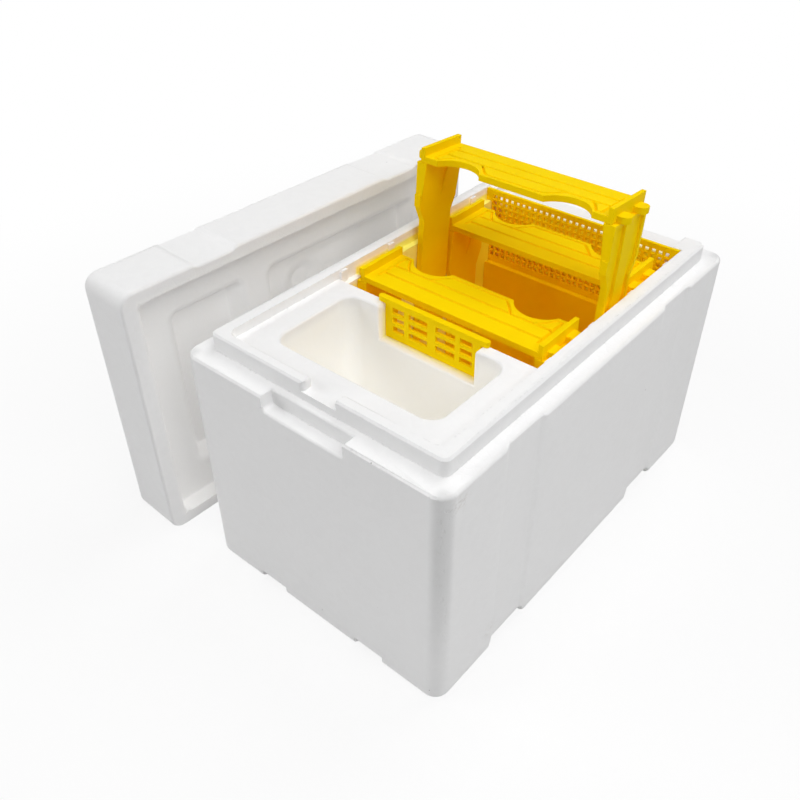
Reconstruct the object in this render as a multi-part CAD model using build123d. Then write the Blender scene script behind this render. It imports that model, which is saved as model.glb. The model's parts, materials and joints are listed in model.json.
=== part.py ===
from build123d import *
import math
import os

# Foam box, outside
BOX_WIDTH = 155.0
BOX_LENGTH = 248.0
SHOULDER_HEIGHT = 133.0
CORNER_RADIUS = 8.0
SOFT_EDGE = 1.0
BASE_BEVEL = 2.0

# Tongue that locates the lid
TONGUE_HEIGHT = 9.0
TONGUE_SIDE_INSET = 8.1
TONGUE_END_INSET = 10.8
TONGUE_SIDE_WALL = 7.0
TONGUE_END_WALL = 5.8
TONGUE_RADIUS = 4.0
LEDGE_DROP = 5.0
FRONT_GAP_WIDTH = 19.5
FRONT_GAP_OFFSET = 1.3
FRONT_GAP_RADIUS = 2.5
BACK_BLOCK_WIDTH = 12.0
BACK_GAP_RADIUS = 8.0

# Finger notch under the front edge of the lid
FINGER_NOTCH_WIDTH = 49.0
FINGER_NOTCH_DEPTH = 7.0
FINGER_NOTCH_HEIGHT = 8.0
FINGER_NOTCH_RADIUS = 2.0

# Inside of the box
FLOOR_THICKNESS = 15.0
FEEDER_LAND = 14.1
FEEDER_SIDE_LAND = 14.4
FEEDER_LENGTH = 52.3
FEEDER_RADIUS = 8.0
FEEDER_FLOOR_BEVEL = 5.0
DIVIDER_THICKNESS = 7.5
LUG_LEDGE_WIDTH = 3.8
CHAMBER_RADIUS = 1.0
FRONT_BEE_SPACE = 5.55
BACK_BEE_SPACE = 8.0
BOTTOM_BEE_SPACE = 9.0

# Window in the divider, where the feeder grille hangs
WINDOW_WIDTH = 59.0
WINDOW_DEPTH = 20.0
WINDOW_LIP_RADIUS = 2.5

# Ventilation recess and entrance in the back wall
VENT_RECESS_WIDTH = 100.0
VENT_RECESS_DEPTH = 6.0
ENTRANCE_DIAMETER = 16.0
ENTRANCE_RISE = 7.0

# Strap grooves up the long sides, and channels under the floor
STRAP_OFFSET = 68.0
STRAP_WIDTH = 29.0
STRAP_DEPTH = 1.5
STRAP_SLOPE_RUN = 3.0
CHANNEL_DEPTH = 4.8
LONG_CHANNEL_WIDTH = 17.0
LONG_CHANNEL_OFFSET = 33.5

# Nibs on the tongue that space the frame lugs
NIB_LENGTH = 5.0
NIB_PROUD = 1.2
NIB_OFFSET = 16.0

# Foam lid
LID_HEIGHT = 34.5
LID_TOP_RADIUS = 5.0
LID_FIT = 0.5
LID_HEADROOM = 1.0
LID_POCKET_DEPTH = 9.0
LID_POCKET_MARGIN = 20.0
LID_POCKET_RADIUS = 5.0
LID_POCKET_SLOPE = 30.0
LID_RIB_WIDTH = 17.0
LID_BACK_LAND = 24.0
LID_DIMPLE_DIAMETER = 27.0
LID_DIMPLE_FLOOR = 12.0
LID_DIMPLE_DEPTH = 4.0
LID_DIMPLE_X = 25.0
LID_DIMPLE_Y = 3.0
LID_STAND_OFF = 23.7
LID_STAND_FORWARD = 10.1
LID_TURN = 2.2

# Frames: top bar
FRAME_PITCH = 37.15
PLATE_WIDTH = 30.6
PLATE_DROP = 4.4
PLATE_THICKNESS = 3.4
SCALLOP_CHORD = 26.0
SCALLOP_DEPTH = 8.0
SCALLOP_OFFSET = 32.0
STRIP_WALL_PLAY = 2.9
STRIP_THICKNESS = 2.5
STRIP_SETBACK = 0.2
LUG_WIDTH = 7.5
LUG_OFFSET = 8.0
LUG_END_PLAY = 0.6

# Frames: arms
ARM_WALL_PLAY = 0.6
ARM_DEPTH = 3.8
ARM_WEB = 2.0
ARM_FLANGE = 2.2
ARM_WIDE = 31.4
ARM_NARROW = 23.6
ARM_WIDE_LENGTH = 25.6
ARM_SLOPE_LENGTH = 8.0
ARM_RIB_WIDTH = 8.5
GUSSET_DEPTH = 2.6
GUSSET_LENGTH = 24.0
GUSSET_CHANNEL_TOP = 11.0
GUSSET_CHANNEL_END = 2.0
SPACER_PROUD = 0.8
SPACER_TOP = 17.6
SPACER_LENGTH = 7.0
TENON_LENGTH = 6.0
TENON_THICKNESS = 2.2
TENON_HEIGHT = 2.2
TENON_OFFSET = 10.5
TENON_FIT = 0.1

# Middle frame, drawn up out of its slot and leaning on the rear frame
MIDDLE_DRAW = 47.75
MIDDLE_LEAN = 3.6
MIDDLE_LEAN_GAP = 0.85

# Feeder grille
GRILLE_FIT = 0.3
GRILLE_THICKNESS = 2.0
GRILLE_BAR_HEIGHT = 3.0
GRILLE_BAR_WIDTH = 3.4
GRILLE_BAR_BEARING = 1.5
GRILLE_SLOT_HEIGHT = 3.2
GRILLE_SLOT_PITCH = 5.35
GRILLE_SLOT_ROWS = 3
GRILLE_TOP_BAND = 1.4
GRILLE_MIDDLE_RIB = 5.2
GRILLE_WIDE_SLOT = 11.6
GRILLE_NARROW_SLOT = 7.3
GRILLE_SIDE_RIB = 3.0

# Ventilation panel
PANEL_THICKNESS = 2.0
PANEL_FIT = 0.3
PANEL_TOP_DROP = 0.2
PANEL_HOLE = 2.5
PANEL_HOLE_PITCH = 4.0
PANEL_ROW_PITCH = 3.75
PANEL_ROWS = 11
PANEL_TOP_BAND = 3.3
PANEL_SIDE_BAND = 1.0

# Entrance shutter
SHUTTER_THICKNESS = 3.7
SHUTTER_HEIGHT = 80.0
SHUTTER_FIT = 0.3
SHUTTER_RADIUS = 1.5

# Length by which a cutting shape passes the face that it cuts
OVERCUT = 1.0

# Levels and lines that several pieces share
rim_top = SHOULDER_HEIGHT + TONGUE_HEIGHT
ledge_z = rim_top - LEDGE_DROP
tongue_x = BOX_WIDTH / 2 - TONGUE_SIDE_INSET
tongue_y = BOX_LENGTH / 2 - TONGUE_END_INSET
inner_x = tongue_x - TONGUE_SIDE_WALL
inner_front = -tongue_y + TONGUE_END_WALL
feeder_x = inner_x - FEEDER_SIDE_LAND
chamber_x = inner_x - LUG_LEDGE_WIDTH
feeder_front = inner_front + FEEDER_LAND
feeder_back = feeder_front + FEEDER_LENGTH
chamber_front = feeder_back + DIVIDER_THICKNESS
front_slot = chamber_front + FRONT_BEE_SPACE + FRAME_PITCH / 2
middle_slot = front_slot + FRAME_PITCH
rear_slot = middle_slot + FRAME_PITCH
shutter_front = rear_slot + FRAME_PITCH / 2 + BACK_BEE_SPACE
panel_front = shutter_front + SHUTTER_THICKNESS + SHUTTER_FIT
panel_back = panel_front + PANEL_THICKNESS
chamber_back = panel_back + PANEL_FIT
window_sill = ledge_z - WINDOW_DEPTH
entrance_z = FLOOR_THICKNESS + ENTRANCE_RISE + ENTRANCE_DIAMETER / 2
shutter_top = FLOOR_THICKNESS + SHUTTER_HEIGHT
arm_outer = chamber_x - ARM_WALL_PLAY
arm_inner = arm_outer - ARM_DEPTH
arm_top = -PLATE_DROP - PLATE_THICKNESS
arm_bottom = FLOOR_THICKNESS + BOTTOM_BEE_SPACE - rim_top
lug_ledge_z = rim_top + arm_top
lug_end = inner_x - LUG_END_PLAY
strip_outer = chamber_x - STRIP_WALL_PLAY
strip_half = ARM_WIDE / 2 - STRIP_SETBACK
tenon_x = arm_inner - GUSSET_DEPTH / 2 + TENON_THICKNESS / 2


def prism_along_y(profile, front, back):
    """Solid whose outline is drawn in X and Z, from the plane y = front to the plane y = back."""
    plane = Plane(origin=(0, back, 0), x_dir=(1, 0, 0), z_dir=(0, -1, 0))
    return extrude(plane * profile, back - front)


def prism_along_x(profile, left, right):
    """Solid whose outline is drawn in Y and Z, from the plane x = left to the plane x = right."""
    plane = Plane(origin=(left, 0, 0), x_dir=(0, 1, 0), z_dir=(1, 0, 0))
    return extrude(plane * profile, right - left)


def box_between(low, high):
    """Box from one corner point to the opposite one."""
    size = Vector(*high) - Vector(*low)
    return Pos(*low) * Box(size.X, size.Y, size.Z, align=Align.MIN)


def strap_profile():
    """Section of one strap groove, cut down from the line y = 0 and past it by the overcut."""
    half = STRAP_WIDTH / 2
    spread = half + OVERCUT * STRAP_SLOPE_RUN / STRAP_DEPTH
    corners = [
        (spread, OVERCUT),
        (-spread, OVERCUT),
        (STRAP_SLOPE_RUN - half, -STRAP_DEPTH),
        (half - STRAP_SLOPE_RUN, -STRAP_DEPTH),
    ]
    return Polygon(*corners, align=None)


def side_strap_grooves(height):
    """Four grooves up the long sides of a foam block that stands on z = 0."""
    grooves = []
    for place in (-STRAP_OFFSET, STRAP_OFFSET):
        section = Plane(origin=(BOX_WIDTH / 2, place, 0), x_dir=(0, 1, 0), z_dir=(0, 0, -1))
        groove = extrude(section * strap_profile(), -height)
        grooves.append(groove)
        grooves.append(mirror(groove, Plane.YZ))
    return grooves


def window_profile():
    """Window in the divider, open at the top, with rounded lips."""
    height = WINDOW_DEPTH + OVERCUT
    opening = Pos(0, window_sill + height / 2) * Rectangle(WINDOW_WIDTH, height)
    lips = Rectangle(WINDOW_WIDTH + 2 * WINDOW_LIP_RADIUS, WINDOW_LIP_RADIUS)
    lips = Pos(0, ledge_z - WINDOW_LIP_RADIUS / 2) * lips
    for side in (-1, 1):
        lip_x = side * (WINDOW_WIDTH / 2 + WINDOW_LIP_RADIUS)
        lips -= Pos(lip_x, ledge_z - WINDOW_LIP_RADIUS) * Circle(WINDOW_LIP_RADIUS)
    return opening + lips


def rim_pocket():
    """Space inside the tongue: the land round the feeder, and the lower ledge that carries the lugs."""
    outline = Rectangle(2 * inner_x, chamber_back - inner_front)
    outline = fillet(outline.vertices().group_by(Axis.Y)[0], TONGUE_RADIUS)
    middle = (inner_front + chamber_back) / 2
    pocket = Pos(0, middle, ledge_z) * extrude(outline, LEDGE_DROP + OVERCUT)
    return pocket + box_between((-inner_x, chamber_front, lug_ledge_z), (inner_x, chamber_back, rim_top))


def feeder_trough():
    """Feeder space with round corners and a bevelled floor."""
    outline = RectangleRounded(2 * feeder_x, FEEDER_LENGTH, FEEDER_RADIUS)
    trough = extrude(outline, ledge_z - FLOOR_THICKNESS)
    trough = chamfer(trough.faces().sort_by(Axis.Z)[0].edges(), FEEDER_FLOOR_BEVEL)
    return Pos(0, (feeder_front + feeder_back) / 2, FLOOR_THICKNESS) * trough


def frame_chamber():
    """Straight-sided space in which the frames hang."""
    outline = RectangleRounded(2 * chamber_x, chamber_back - chamber_front, CHAMBER_RADIUS)
    middle = (chamber_front + chamber_back) / 2
    return Pos(0, middle, FLOOR_THICKNESS) * extrude(outline, rim_top - FLOOR_THICKNESS)


def back_gap():
    """Air gap through the tongue at the back, with a curved ramp up to each corner block."""
    width = 2 * (tongue_x - BACK_BLOCK_WIDTH)
    height = TONGUE_HEIGHT + BACK_GAP_RADIUS + OVERCUT
    outline = Pos(0, SHOULDER_HEIGHT + height / 2) * RectangleRounded(width, height, BACK_GAP_RADIUS)
    return prism_along_y(outline, chamber_back - OVERCUT, BOX_LENGTH / 2)


def front_gap():
    """Gap through the tongue at the front, past the rounded end of the tongue's left half."""
    left = FRONT_GAP_OFFSET - FRONT_GAP_WIDTH / 2
    front = -tongue_y - OVERCUT
    length = TONGUE_END_WALL + 2 * OVERCUT
    outline = Pos(left, front) * Rectangle(FRONT_GAP_WIDTH, length, align=Align.MIN)
    corner = Rectangle(FRONT_GAP_RADIUS, FRONT_GAP_RADIUS + OVERCUT, align=Align.MIN)
    corner = Pos(left - FRONT_GAP_RADIUS, front) * corner
    corner -= Pos(left - FRONT_GAP_RADIUS, FRONT_GAP_RADIUS - tongue_y) * Circle(FRONT_GAP_RADIUS)
    return Pos(0, 0, ledge_z) * extrude(outline + corner, LEDGE_DROP + OVERCUT)


def finger_notch():
    """Hollow under the front edge of the lid, where a finger lifts it."""
    outline = Rectangle(FINGER_NOTCH_WIDTH, 2 * FINGER_NOTCH_HEIGHT)
    outline = Pos(0, SHOULDER_HEIGHT) * fillet(outline.vertices(), FINGER_NOTCH_RADIUS)
    front = -BOX_LENGTH / 2
    return prism_along_y(outline, front - OVERCUT, front + FINGER_NOTCH_DEPTH)


def floor_channels():
    """Two channels across the underside, in line with the straps, and two along it."""
    height = 2 * CHANNEL_DEPTH
    cross_channel = Box(BOX_WIDTH + 2 * OVERCUT, STRAP_WIDTH, height)
    long_channel = Box(LONG_CHANNEL_WIDTH, BOX_LENGTH + 2 * OVERCUT, height)
    channels = []
    for side in (-1, 1):
        channels.append(Pos(0, side * STRAP_OFFSET, 0) * cross_channel)
        channels.append(Pos(side * LONG_CHANNEL_OFFSET, 0, 0) * long_channel)
    return channels


def lug_nibs():
    """Nibs on the inner faces of the tongue, one behind each frame's lugs and one before the first."""
    nibs = []
    for slot in (front_slot - FRAME_PITCH, front_slot, middle_slot, rear_slot):
        middle = slot + NIB_OFFSET
        low = (inner_x - NIB_PROUD, middle - NIB_LENGTH / 2, lug_ledge_z)
        high = (inner_x + OVERCUT, middle + NIB_LENGTH / 2, rim_top - SOFT_EDGE)
        nib = box_between(low, high)
        nibs.append(nib)
        nibs.append(mirror(nib, Plane.YZ))
    return nibs


def hive_body():
    """Foam box with the feeder, the frame chamber, the lid tongue, grooves, notches and channels."""
    walls = extrude(RectangleRounded(BOX_WIDTH, BOX_LENGTH, CORNER_RADIUS), SHOULDER_HEIGHT)
    walls = chamfer(walls.faces().sort_by(Axis.Z)[-1].edges(), SOFT_EDGE)
    walls = chamfer(walls.faces().sort_by(Axis.Z)[0].edges(), BASE_BEVEL)
    tongue = extrude(RectangleRounded(2 * tongue_x, 2 * tongue_y, TONGUE_RADIUS), rim_top)
    tongue = chamfer(tongue.faces().sort_by(Axis.Z)[-1].edges(), SOFT_EDGE)
    window = prism_along_y(window_profile(), feeder_back - FEEDER_LENGTH / 2, chamber_front + OVERCUT)
    vent_recess = box_between(
        (-VENT_RECESS_WIDTH / 2, chamber_back - OVERCUT, shutter_top),
        (VENT_RECESS_WIDTH / 2, chamber_back + VENT_RECESS_DEPTH, rim_top),
    )
    entrance = prism_along_y(
        Pos(0, entrance_z) * Circle(ENTRANCE_DIAMETER / 2), chamber_back - OVERCUT, BOX_LENGTH / 2 + OVERCUT
    )
    body = walls + tongue
    body -= [rim_pocket(), back_gap(), front_gap(), feeder_trough(), frame_chamber(), window, finger_notch()]
    body -= side_strap_grooves(SHOULDER_HEIGHT)
    body -= floor_channels()
    body -= [vent_recess, entrance]
    return body + lug_nibs()


def lid_pocket(front, back):
    """Hollow in the underside of the lid, above the recess for the tongue."""
    width = 2 * (tongue_x + LID_FIT - LID_POCKET_MARGIN)
    level = TONGUE_HEIGHT + LID_HEADROOM
    pocket = extrude(Rectangle(width, back - front), LID_POCKET_DEPTH, taper=LID_POCKET_SLOPE)
    pocket = fillet(pocket.edges().group_by(Axis.Z)[1], LID_POCKET_RADIUS)
    return Pos(0, (front + back) / 2, level) * pocket


def lid():
    """Foam lid with its rim on z = 0, as it lies when closed, then stood on its long side by the box."""
    cover = extrude(RectangleRounded(BOX_WIDTH, BOX_LENGTH, CORNER_RADIUS), LID_HEIGHT)
    cover = fillet(cover.faces().sort_by(Axis.Z)[-1].edges(), LID_TOP_RADIUS)
    cover = chamfer(cover.faces().sort_by(Axis.Z)[0].edges(), SOFT_EDGE)
    recess_x = 2 * (tongue_x + LID_FIT)
    recess_y = 2 * (tongue_y + LID_FIT)
    recess = extrude(
        RectangleRounded(recess_x, recess_y, TONGUE_RADIUS + LID_FIT), TONGUE_HEIGHT + LID_HEADROOM
    )
    rib_middle = chamber_front - DIVIDER_THICKNESS / 2
    feeder_pocket = lid_pocket(-recess_y / 2 + LID_POCKET_MARGIN, rib_middle - LID_RIB_WIDTH / 2)
    frame_pocket = lid_pocket(rib_middle + LID_RIB_WIDTH / 2, recess_y / 2 - LID_BACK_LAND)
    dimple_level = TONGUE_HEIGHT + LID_HEADROOM + LID_POCKET_DEPTH + LID_DIMPLE_DEPTH / 2
    dimple = Cone(LID_DIMPLE_DIAMETER / 2, LID_DIMPLE_FLOOR / 2, LID_DIMPLE_DEPTH)
    dimple = Pos(LID_DIMPLE_X, LID_DIMPLE_Y, dimple_level) * dimple
    cover -= [recess, feeder_pocket, frame_pocket, dimple]
    cover -= side_strap_grooves(LID_HEIGHT)
    for place in (-STRAP_OFFSET, STRAP_OFFSET):
        groove = Pos(place, LID_HEIGHT) * strap_profile()
        cover -= prism_along_x(groove, -BOX_WIDTH, BOX_WIDTH)
    stand = Pos(-BOX_WIDTH / 2 - LID_STAND_OFF, -LID_STAND_FORWARD, BOX_WIDTH / 2)
    return stand * Rot(0, 0, -LID_TURN) * Rot(0, -90, 0) * cover


def frame_top_bar():
    """Top bar from the middle of its end strips' top line: scalloped plate, end strips and hanging lugs."""
    radius = (SCALLOP_CHORD**2 / 4 + SCALLOP_DEPTH**2) / (2 * SCALLOP_DEPTH)
    plate = Rectangle(2 * strip_outer, PLATE_WIDTH)
    for side in (-1, 1):
        plate -= Pos(side * SCALLOP_OFFSET, PLATE_WIDTH / 2 - SCALLOP_DEPTH + radius) * Circle(radius)
    bar = Pos(0, 0, arm_top) * extrude(plate, PLATE_THICKNESS)
    strip = box_between(
        (strip_outer - STRIP_THICKNESS, -strip_half, arm_top), (strip_outer, strip_half, 0)
    )
    end_pieces = [strip]
    mortises = []
    nose = LUG_WIDTH / 2
    root = strip_outer - STRIP_THICKNESS / 2
    for side in (-1, 1):
        lug_y = side * LUG_OFFSET
        outline = Pos((root + lug_end - nose) / 2, lug_y) * Rectangle(lug_end - nose - root, LUG_WIDTH)
        outline += Pos(lug_end - nose, lug_y) * Circle(nose)
        end_pieces.append(Pos(0, 0, arm_top) * extrude(outline, PLATE_THICKNESS))
        mortises.append(arm_tenon(side, TENON_FIT))
    for piece in end_pieces:
        bar += [piece, mirror(piece, Plane.YZ)]
    for mortise in mortises:
        bar -= [mortise, mirror(mortise, Plane.YZ)]
    return bar


def arm_tenon(side, room):
    """Tenon on top of the right arm, or, with room round it, the mortise that it sits in."""
    half_x = TENON_THICKNESS / 2 + room
    half_y = TENON_LENGTH / 2 + room
    middle = side * TENON_OFFSET
    low = (tenon_x - half_x, middle - half_y, arm_top - OVERCUT)
    high = (tenon_x + half_x, middle + half_y, arm_top + TENON_HEIGHT + room)
    return box_between(low, high)


def arm_outline():
    """Side view of an arm in Y and Z: wide at the top, then a slope to the narrow lower part."""
    wide = ARM_WIDE / 2
    narrow = ARM_NARROW / 2
    slope_top = arm_top - ARM_WIDE_LENGTH
    slope_end = slope_top - ARM_SLOPE_LENGTH
    right_edge = [(narrow, arm_bottom), (narrow, slope_end), (wide, slope_top), (wide, arm_top)]
    left_edge = [(-y, z) for y, z in reversed(right_edge)]
    return Polygon(*right_edge, *left_edge, align=None)


def frame_arm():
    """Right arm of a frame: web, edge flanges, middle rib, gussets with a tapered channel, and tenons."""
    outline = arm_outline()
    flanges = outline - offset(outline, -ARM_FLANGE)
    rib = Pos(0, (arm_top + arm_bottom) / 2) * Rectangle(ARM_RIB_WIDTH, arm_top - arm_bottom)
    arm = prism_along_x(outline, arm_inner, arm_inner + ARM_WEB)
    arm += prism_along_x(flanges + rib, arm_inner, arm_outer)
    wedge = Polygon(
        (arm_inner, arm_top),
        (arm_inner - GUSSET_DEPTH, arm_top),
        (arm_inner, arm_top - GUSSET_LENGTH),
        align=None,
    )
    gusset = prism_along_y(wedge, -ARM_WIDE / 2, ARM_WIDE / 2)
    channel = Polygon(
        (GUSSET_CHANNEL_TOP / 2, arm_top + OVERCUT),
        (-GUSSET_CHANNEL_TOP / 2, arm_top + OVERCUT),
        (-GUSSET_CHANNEL_END / 2, arm_top - GUSSET_LENGTH),
        (GUSSET_CHANNEL_END / 2, arm_top - GUSSET_LENGTH),
        align=None,
    )
    arm += gusset - prism_along_x(channel, arm_inner - 2 * GUSSET_DEPTH, arm_inner)
    spacer_top = arm_top - SPACER_TOP
    arm += box_between(
        (arm_inner, ARM_WIDE / 2 - ARM_FLANGE, spacer_top - SPACER_LENGTH),
        (arm_outer, ARM_WIDE / 2 + SPACER_PROUD, spacer_top),
    )
    return arm + [arm_tenon(side, 0) for side in (-1, 1)]


def feeder_grille():
    """Slotted insert that hangs by its top bar in the divider's window, flush with the chamber."""
    half = WINDOW_WIDTH / 2 - GRILLE_FIT
    bottom = window_sill + GRILLE_FIT
    face = Pos(0, (bottom + ledge_z) / 2) * Rectangle(2 * half, ledge_z - bottom)
    wide_middle = (GRILLE_MIDDLE_RIB + GRILLE_WIDE_SLOT) / 2
    narrow_middle = GRILLE_MIDDLE_RIB / 2 + GRILLE_WIDE_SLOT + GRILLE_SIDE_RIB + GRILLE_NARROW_SLOT / 2
    for row in range(GRILLE_SLOT_ROWS):
        level = ledge_z - GRILLE_TOP_BAND - GRILLE_SLOT_HEIGHT / 2 - row * GRILLE_SLOT_PITCH
        for side in (-1, 1):
            face -= Pos(side * wide_middle, level) * Rectangle(GRILLE_WIDE_SLOT, GRILLE_SLOT_HEIGHT)
            face -= Pos(side * narrow_middle, level) * Rectangle(GRILLE_NARROW_SLOT, GRILLE_SLOT_HEIGHT)
    back = chamber_front - GRILLE_FIT
    grille = prism_along_y(face, back - GRILLE_THICKNESS, back)
    bar_length = WINDOW_WIDTH + 2 * (WINDOW_LIP_RADIUS + GRILLE_BAR_BEARING)
    bar = extrude(SlotOverall(bar_length, GRILLE_BAR_WIDTH), GRILLE_BAR_HEIGHT)
    return grille + Pos(0, back - GRILLE_THICKNESS / 2, ledge_z) * bar


def vent_panel():
    """Panel of square holes that hangs by its ears on the ledge, with the entrance hole near its foot."""
    half = chamber_x - PANEL_FIT
    ear_half = inner_x - PANEL_FIT
    foot = FLOOR_THICKNESS + PANEL_FIT
    top = rim_top - PANEL_TOP_DROP
    face = Pos(0, (foot + top) / 2) * Rectangle(2 * half, top - foot)
    face += Pos(0, (lug_ledge_z + top) / 2) * Rectangle(2 * ear_half, top - lug_ledge_z)
    face -= Pos(0, entrance_z) * Circle(ENTRANCE_DIAMETER / 2)
    columns = 2 * math.floor((half - PANEL_SIDE_BAND - PANEL_HOLE / 2) / PANEL_HOLE_PITCH) + 1
    field_top = top - PANEL_TOP_BAND
    field_height = (PANEL_ROWS - 1) * PANEL_ROW_PITCH + PANEL_HOLE
    field_middle = Pos(0, field_top - field_height / 2)
    hole = Rectangle(PANEL_HOLE, PANEL_HOLE)
    grid = GridLocations(PANEL_HOLE_PITCH, PANEL_ROW_PITCH, columns, PANEL_ROWS)
    face -= [field_middle * place * hole for place in grid]
    return prism_along_y(face, panel_front, panel_back)


def entrance_shutter():
    """Plain plate that stands on the floor before the vent panel and is raised to open the entrance."""
    width = 2 * (chamber_x - SHUTTER_FIT)
    outline = Rectangle(width, SHUTTER_HEIGHT)
    outline = fillet(outline.vertices(), SHUTTER_RADIUS)
    outline = Pos(0, FLOOR_THICKNESS + SHUTTER_HEIGHT / 2) * outline
    return prism_along_y(outline, shutter_front, shutter_front + SHUTTER_THICKNESS)


def frame_places():
    """Where each frame is: hanging in the front and rear slots, and the middle one drawn up and turned."""
    lean = math.radians(MIDDLE_LEAN)
    rear_face = rear_slot - strip_half
    middle_y = rear_face - MIDDLE_LEAN_GAP - ARM_NARROW / 2 + MIDDLE_DRAW * math.tan(lean)
    return {
        "front_frame": Pos(0, front_slot, rim_top),
        "middle_frame": Pos(0, middle_y, rim_top + MIDDLE_DRAW) * Rot(-MIDDLE_LEAN, 0, 0) * Rot(0, 0, 180),
        "rear_frame": Pos(0, rear_slot, rim_top),
    }


def all_pieces():
    """Every piece by its name, in its place."""
    pieces = {
        "hive_body": hive_body(),
        "lid": lid(),
        "feeder_grille": feeder_grille(),
        "vent_panel": vent_panel(),
        "entrance_shutter": entrance_shutter(),
    }
    top_bar = frame_top_bar()
    right_arm = frame_arm()
    left_arm = mirror(right_arm, Plane.YZ)
    for name, place in frame_places().items():
        pieces[name + "_top_bar"] = place * top_bar
        pieces[name + "_left_arm"] = place * left_arm
        pieces[name + "_right_arm"] = place * right_arm
    return pieces


os.makedirs("parts", exist_ok=True)
for node, piece in all_pieces().items():
    export_step(piece, os.path.join("parts", node + ".step"))
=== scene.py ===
"""Looks of the foam hive box: foam box and lid, yellow plastic frames and inserts, and the studio."""

import json
import logging
import math
from dataclasses import dataclass, field
from enum import Enum

import bmesh
import bpy
import numpy as np
from mathutils import Euler, Matrix, Vector
from mathutils.bvhtree import BVHTree


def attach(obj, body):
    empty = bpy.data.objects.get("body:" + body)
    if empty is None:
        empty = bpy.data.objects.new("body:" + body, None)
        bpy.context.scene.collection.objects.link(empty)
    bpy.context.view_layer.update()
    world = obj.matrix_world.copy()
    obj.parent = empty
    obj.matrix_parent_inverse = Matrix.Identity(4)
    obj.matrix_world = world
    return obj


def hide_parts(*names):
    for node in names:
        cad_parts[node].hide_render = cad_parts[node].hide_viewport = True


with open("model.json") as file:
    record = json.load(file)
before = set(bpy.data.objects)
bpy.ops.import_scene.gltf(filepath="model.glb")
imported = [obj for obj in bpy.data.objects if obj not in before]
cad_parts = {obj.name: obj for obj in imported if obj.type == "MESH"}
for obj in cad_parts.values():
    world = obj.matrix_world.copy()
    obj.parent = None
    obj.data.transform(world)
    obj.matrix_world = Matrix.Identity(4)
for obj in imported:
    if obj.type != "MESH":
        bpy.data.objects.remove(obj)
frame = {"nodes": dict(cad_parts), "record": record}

Colour = tuple[float, float, float]
Corner = tuple[float, float, float]
Point = tuple[float, float]
Piece = bpy.types.Object
Socket = bpy.types.NodeSocket
Strays = list[tuple[Vector, float]]
Widths = dict[bmesh.types.BMEdge, float]

LOG = logging.getLogger("foam_hive_box")
MM = 0.001


class Slot(Enum):
    """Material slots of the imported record."""

    FOAM = "foam"
    YELLOW = "yellow_plastic"


class FrameSlot(Enum):
    """The three frames, by their CAD bodies."""

    FRONT = "front_frame"
    MIDDLE = "middle_frame"
    REAR = "rear_frame"


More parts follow.
